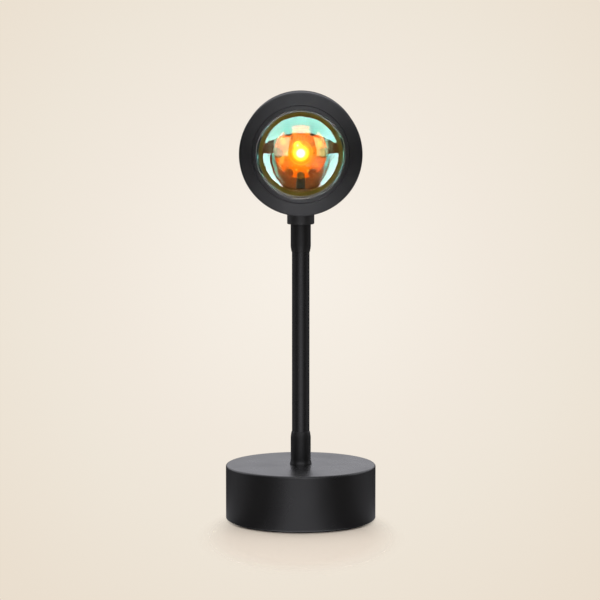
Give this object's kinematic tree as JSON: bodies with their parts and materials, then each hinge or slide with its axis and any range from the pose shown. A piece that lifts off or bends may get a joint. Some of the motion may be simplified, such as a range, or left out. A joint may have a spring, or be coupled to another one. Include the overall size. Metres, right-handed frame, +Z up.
{
  "type": "sunset projection lamp",
  "caption": "Sunset projection lamp: a round weighted base, a bendable black neck and a turned head with a deep domed lens over an orange colour filter.",
  "frame": {"origin": "centre of the base's underside, on the table that the lamp stands on", "axes": "+Z up along the straight neck; the lens looks along -Y and the supply lead enters from +Y; +X is to the right of someone who looks at the lens"},
  "size_m": [0.0866, 0.0876, 0.2473],
  "materials": {
    "black_base": "satin",
    "black_head": "satin",
    "black_ring": "satin",
    "black_hose": "satin",
    "black_screw": "satin",
    "rubber": "matte",
    "lead_rubber": "satin",
    "foam": "matte",
    "iron": "matte",
    "steel": "satin",
    "bare_aluminium": "satin",
    "circuit_board": "satin",
    "led_board": "matte",
    "led": "gloss",
    "tube_plastic": "matte",
    "filter_glass": "polished",
    "lens_glass": "polished"
  },
  "bodies": {
    "base": {"base_shell": "black_base", "base_weight": "iron", "bottom_plate": "steel", "foot_pad": "foam", "cable_gland": "rubber", "base_screw_1": "steel", "base_screw_2": "steel", "base_screw_3": "steel", "driver_board": "circuit_board", "driver_screw_1": "steel", "driver_screw_2": "steel", "base_lead": "lead_rubber", "lower_nipple": "steel", "base_washer": "steel", "base_nut": "steel", "lower_hose_end": "black_hose", "lower_sleeve": "rubber"},
    "neck_01": {"link_01": "black_hose"},
    "neck_02": {"link_02": "black_hose"},
    "neck_03": {"link_03": "black_hose"},
    "neck_04": {"link_04": "black_hose"},
    "neck_05": {"link_05": "black_hose"},
    "neck_06": {"link_06": "black_hose"},
    "neck_07": {"link_07": "black_hose"},
    "neck_08": {"link_08": "black_hose"},
    "neck_09": {"link_09": "black_hose"},
    "neck_10": {"link_10": "black_hose"},
    "neck_11": {"link_11": "black_hose"},
    "neck_12": {"link_12": "black_hose"},
    "neck_13": {"link_13": "black_hose"},
    "neck_14": {"link_14": "black_hose"},
    "neck_15": {"link_15": "black_hose"},
    "neck_top": {"upper_hose_end": "black_hose", "upper_nipple": "steel", "upper_lead": "lead_rubber", "upper_sleeve": "rubber", "swivel_washer": "steel", "swivel_nut": "steel"},
    "head": {"head_collar": "black_head", "head_barrel": "black_head", "swivel_seat": "bare_aluminium", "head_lead": "lead_rubber", "heat_sink": "bare_aluminium", "led_board": "led_board", "led_emitter": "led", "star_screw_1": "steel", "star_screw_2": "steel", "light_tube": "tube_plastic", "colour_filter": "filter_glass", "lens_gasket": "rubber", "lens": "lens_glass", "lens_ring": "black_ring", "rear_cover": "black_head", "cover_screw_1": "black_screw", "cover_screw_2": "black_screw", "cover_screw_3": "black_screw"}
  },
  "joints": [
    {"name": "neck_nod_1", "type": "hinge", "parent": "base", "child": "neck_01", "pos_m": [0, 0, 0.05495], "axis": [1, 0, 0], "range_deg": [-11.25, 11.25]},
    {"name": "neck_lean_1", "type": "hinge", "parent": "neck_01", "child": "neck_02", "pos_m": [0, 0, 0.06145], "axis": [0, 1, 0], "range_deg": [-11.25, 11.25]},
    {"name": "neck_nod_2", "type": "hinge", "parent": "neck_02", "child": "neck_03", "pos_m": [0, 0, 0.06795], "axis": [1, 0, 0], "range_deg": [-11.25, 11.25]},
    {"name": "neck_lean_2", "type": "hinge", "parent": "neck_03", "child": "neck_04", "pos_m": [0, 0, 0.07445], "axis": [0, 1, 0], "range_deg": [-11.25, 11.25]},
    {"name": "neck_nod_3", "type": "hinge", "parent": "neck_04", "child": "neck_05", "pos_m": [0, 0, 0.08095], "axis": [1, 0, 0], "range_deg": [-11.25, 11.25]},
    {"name": "neck_lean_3", "type": "hinge", "parent": "neck_05", "child": "neck_06", "pos_m": [0, 0, 0.08745], "axis": [0, 1, 0], "range_deg": [-11.25, 11.25]},
    {"name": "neck_nod_4", "type": "hinge", "parent": "neck_06", "child": "neck_07", "pos_m": [0, 0, 0.09395], "axis": [1, 0, 0], "range_deg": [-11.25, 11.25]},
    {"name": "neck_lean_4", "type": "hinge", "parent": "neck_07", "child": "neck_08", "pos_m": [0, 0, 0.10045], "axis": [0, 1, 0], "range_deg": [-11.25, 11.25]},
    {"name": "neck_nod_5", "type": "hinge", "parent": "neck_08", "child": "neck_09", "pos_m": [0, 0, 0.10695], "axis": [1, 0, 0], "range_deg": [-11.25, 11.25]},
    {"name": "neck_lean_5", "type": "hinge", "parent": "neck_09", "child": "neck_10", "pos_m": [0, 0, 0.11345], "axis": [0, 1, 0], "range_deg": [-11.25, 11.25]},
    {"name": "neck_nod_6", "type": "hinge", "parent": "neck_10", "child": "neck_11", "pos_m": [0, 0, 0.11995], "axis": [1, 0, 0], "range_deg": [-11.25, 11.25]},
    {"name": "neck_lean_6", "type": "hinge", "parent": "neck_11", "child": "neck_12", "pos_m": [0, 0, 0.12645], "axis": [0, 1, 0], "range_deg": [-11.25, 11.25]},
    {"name": "neck_nod_7", "type": "hinge", "parent": "neck_12", "child": "neck_13", "pos_m": [0, 0, 0.13295], "axis": [1, 0, 0], "range_deg": [-11.25, 11.25]},
    {"name": "neck_lean_7", "type": "hinge", "parent": "neck_13", "child": "neck_14", "pos_m": [0, 0, 0.13945], "axis": [0, 1, 0], "range_deg": [-11.25, 11.25]},
    {"name": "neck_nod_8", "type": "hinge", "parent": "neck_14", "child": "neck_15", "pos_m": [0, 0, 0.14595], "axis": [1, 0, 0], "range_deg": [-11.25, 11.25]},
    {"name": "neck_lean_8", "type": "hinge", "parent": "neck_15", "child": "neck_top", "pos_m": [0, 0, 0.15245], "axis": [0, 1, 0], "range_deg": [-11.25, 11.25]},
    {"name": "head_swivel", "type": "hinge", "parent": "neck_top", "child": "head", "pos_m": [0, 0, 0.1716], "axis": [0, 0, 1], "range_deg": [-170, 170]}
  ],
  "couplings": [
    {"joint": "neck_nod_2", "follows": "neck_nod_1", "ratio": 1},
    {"joint": "neck_lean_2", "follows": "neck_lean_1", "ratio": 1},
    {"joint": "neck_nod_3", "follows": "neck_nod_1", "ratio": 1},
    {"joint": "neck_lean_3", "follows": "neck_lean_1", "ratio": 1},
    {"joint": "neck_nod_4", "follows": "neck_nod_1", "ratio": 1},
    {"joint": "neck_lean_4", "follows": "neck_lean_1", "ratio": 1},
    {"joint": "neck_nod_5", "follows": "neck_nod_1", "ratio": 1},
    {"joint": "neck_lean_5", "follows": "neck_lean_1", "ratio": 1},
    {"joint": "neck_nod_6", "follows": "neck_nod_1", "ratio": 1},
    {"joint": "neck_lean_6", "follows": "neck_lean_1", "ratio": 1},
    {"joint": "neck_nod_7", "follows": "neck_nod_1", "ratio": 1},
    {"joint": "neck_lean_7", "follows": "neck_lean_1", "ratio": 1},
    {"joint": "neck_nod_8", "follows": "neck_nod_1", "ratio": 1},
    {"joint": "neck_lean_8", "follows": "neck_lean_1", "ratio": 1}
  ]
}
